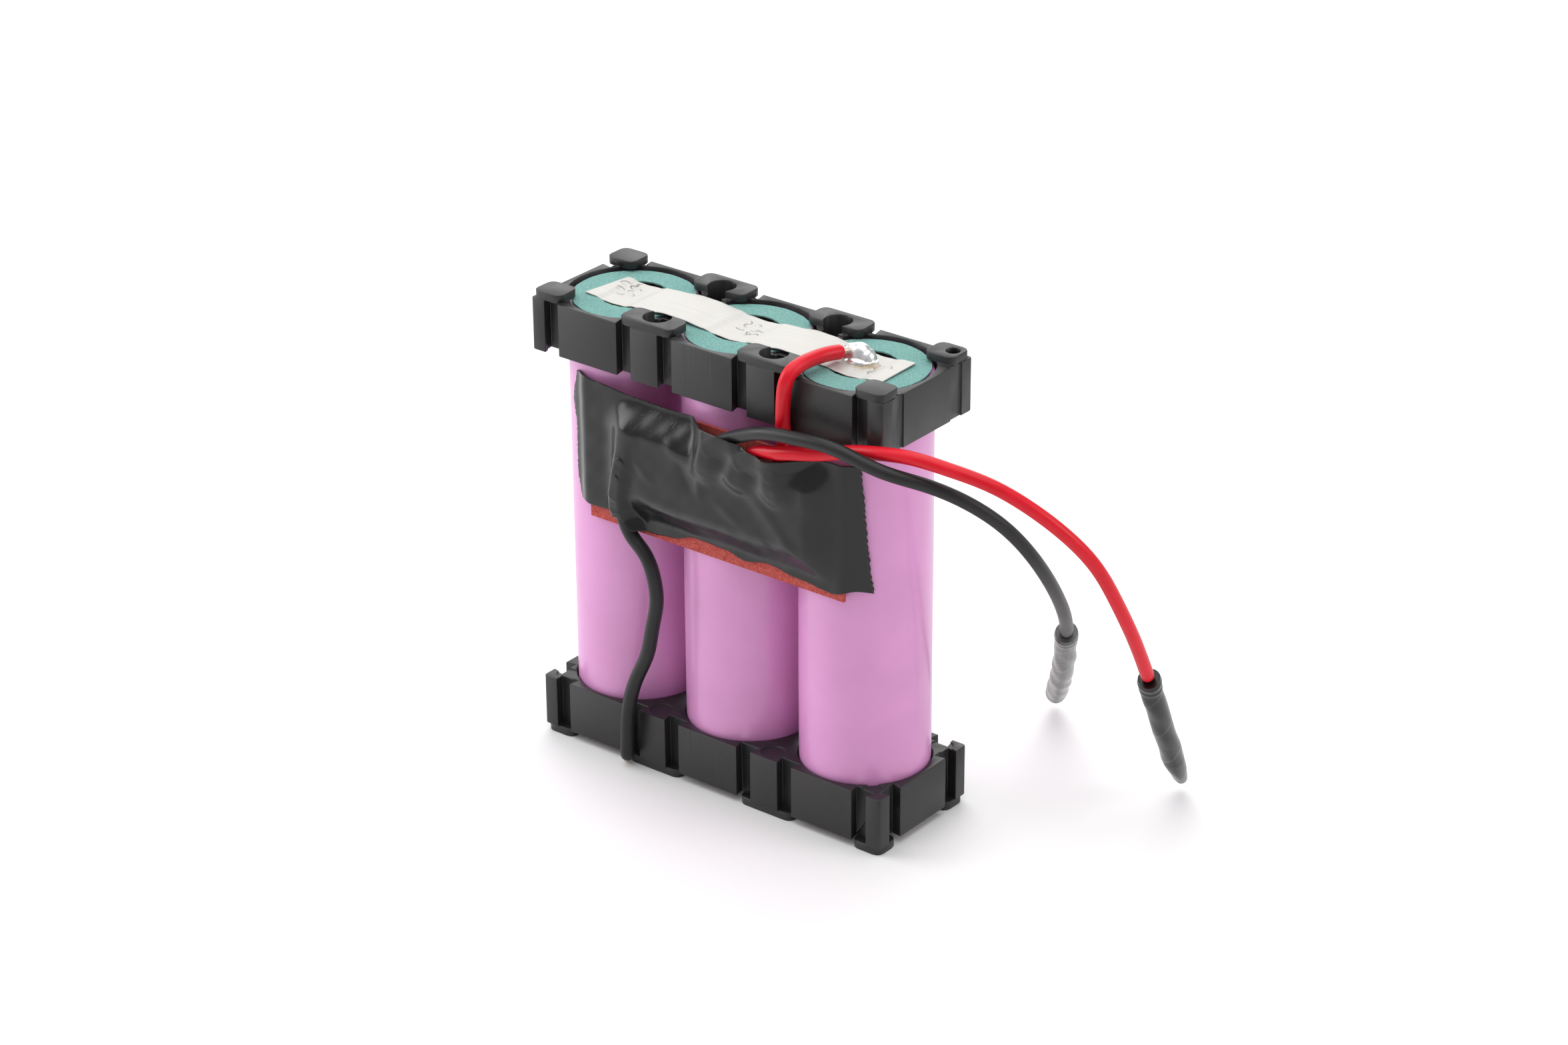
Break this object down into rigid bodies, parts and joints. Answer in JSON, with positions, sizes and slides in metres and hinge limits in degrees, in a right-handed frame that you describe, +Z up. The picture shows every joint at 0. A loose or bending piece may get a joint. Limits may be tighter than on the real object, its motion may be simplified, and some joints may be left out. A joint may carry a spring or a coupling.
{
  "type": "lithium battery pack",
  "caption": "Battery pack of upright cylindrical cells held in two moulded end holders, with nickel strips, a taped protection board and two loose output leads.",
  "frame": {"origin": "centre of the standing pack's footprint (leads left out) on the plane of the lower holder's feet", "axes": "+X along the row of cells towards the end where the output leads hang, -Y the front with the taped protection board, +Z up towards the positive ends of the cells"},
  "size_m": [0.0907, 0.0566, 0.0707],
  "materials": {
    "black_plastic": "satin moulded black plastic with a fine grain and soft wear",
    "pink_sleeve": "glossy pink shrunk sleeve",
    "plated_steel": "nickel plated deep drawn steel",
    "wound_electrodes": "coated foils wound tight, dark grey at the ends",
    "insulator_film": "off-white film",
    "gasket_plastic": "off-white moulded seal",
    "aluminium": "mill finish aluminium",
    "teal_fish_paper": "fibrous teal insulating paper, matt",
    "nickel": "pale nickel strip with spot weld dimples",
    "solder": "bright solder with a little amber flux",
    "red_fibre": "red vulcanised fibre, matt",
    "green_laminate": "green solder mask over glass laminate",
    "chip_plastic": "black moulding compound",
    "resistor_ceramic": "black glazed chip body",
    "capacitor_ceramic": "brown chip body",
    "black_tape": "black tape, slightly glossy, wrinkled",
    "red_insulation": "red lead insulation",
    "black_insulation": "black lead insulation",
    "tinned_copper": "twisted tinned copper strands",
    "tip_tape": "black tape wound over the bare lead ends"
  },
  "bodies": {
    "root": {"holder_top": "black_plastic", "holder_bottom": "black_plastic", "cell_1_sleeve": "pink_sleeve", "cell_1_can": "plated_steel", "cell_1_jelly_roll": "wound_electrodes", "cell_1_lower_insulator": "insulator_film", "cell_1_upper_insulator": "insulator_film", "cell_1_gasket": "gasket_plastic", "cell_1_vent_disc": "aluminium", "cell_1_cap": "plated_steel", "cell_1_top_ring": "teal_fish_paper", "cell_1_positive_tab": "aluminium", "cell_2_sleeve": "pink_sleeve", "cell_2_can": "plated_steel", "cell_2_jelly_roll": "wound_electrodes", "cell_2_lower_insulator": "insulator_film", "cell_2_upper_insulator": "insulator_film", "cell_2_gasket": "gasket_plastic", "cell_2_vent_disc": "aluminium", "cell_2_cap": "plated_steel", "cell_2_top_ring": "teal_fish_paper", "cell_2_positive_tab": "aluminium", "cell_3_sleeve": "pink_sleeve", "cell_3_can": "plated_steel", "cell_3_jelly_roll": "wound_electrodes", "cell_3_lower_insulator": "insulator_film", "cell_3_upper_insulator": "insulator_film", "cell_3_gasket": "gasket_plastic", "cell_3_vent_disc": "aluminium", "cell_3_cap": "plated_steel", "cell_3_top_ring": "teal_fish_paper", "cell_3_positive_tab": "aluminium", "nickel_strip_top": "nickel", "nickel_strip_bottom": "nickel", "solder_positive": "solder", "solder_negative": "solder", "backing_board": "red_fibre", "circuit_board": "green_laminate", "mosfet_1": "chip_plastic", "mosfet_2": "chip_plastic", "protection_chip": "chip_plastic", "resistor_1": "resistor_ceramic", "resistor_2": "resistor_ceramic", "capacitor": "capacitor_ceramic", "board_joint_cell_minus": "solder", "board_joint_out_minus": "solder", "board_joint_out_plus": "solder", "board_joint_cell_plus": "solder", "tape_patch": "black_tape", "link_lead_positive": "red_insulation", "link_lead_negative": "black_insulation", "link_strands_negative": "tinned_copper", "output_lead_positive": "red_insulation", "output_lead_negative": "black_insulation", "tip_wrap_positive": "tip_tape", "tip_wrap_negative": "tip_tape"}
  },
  "joints": []
}
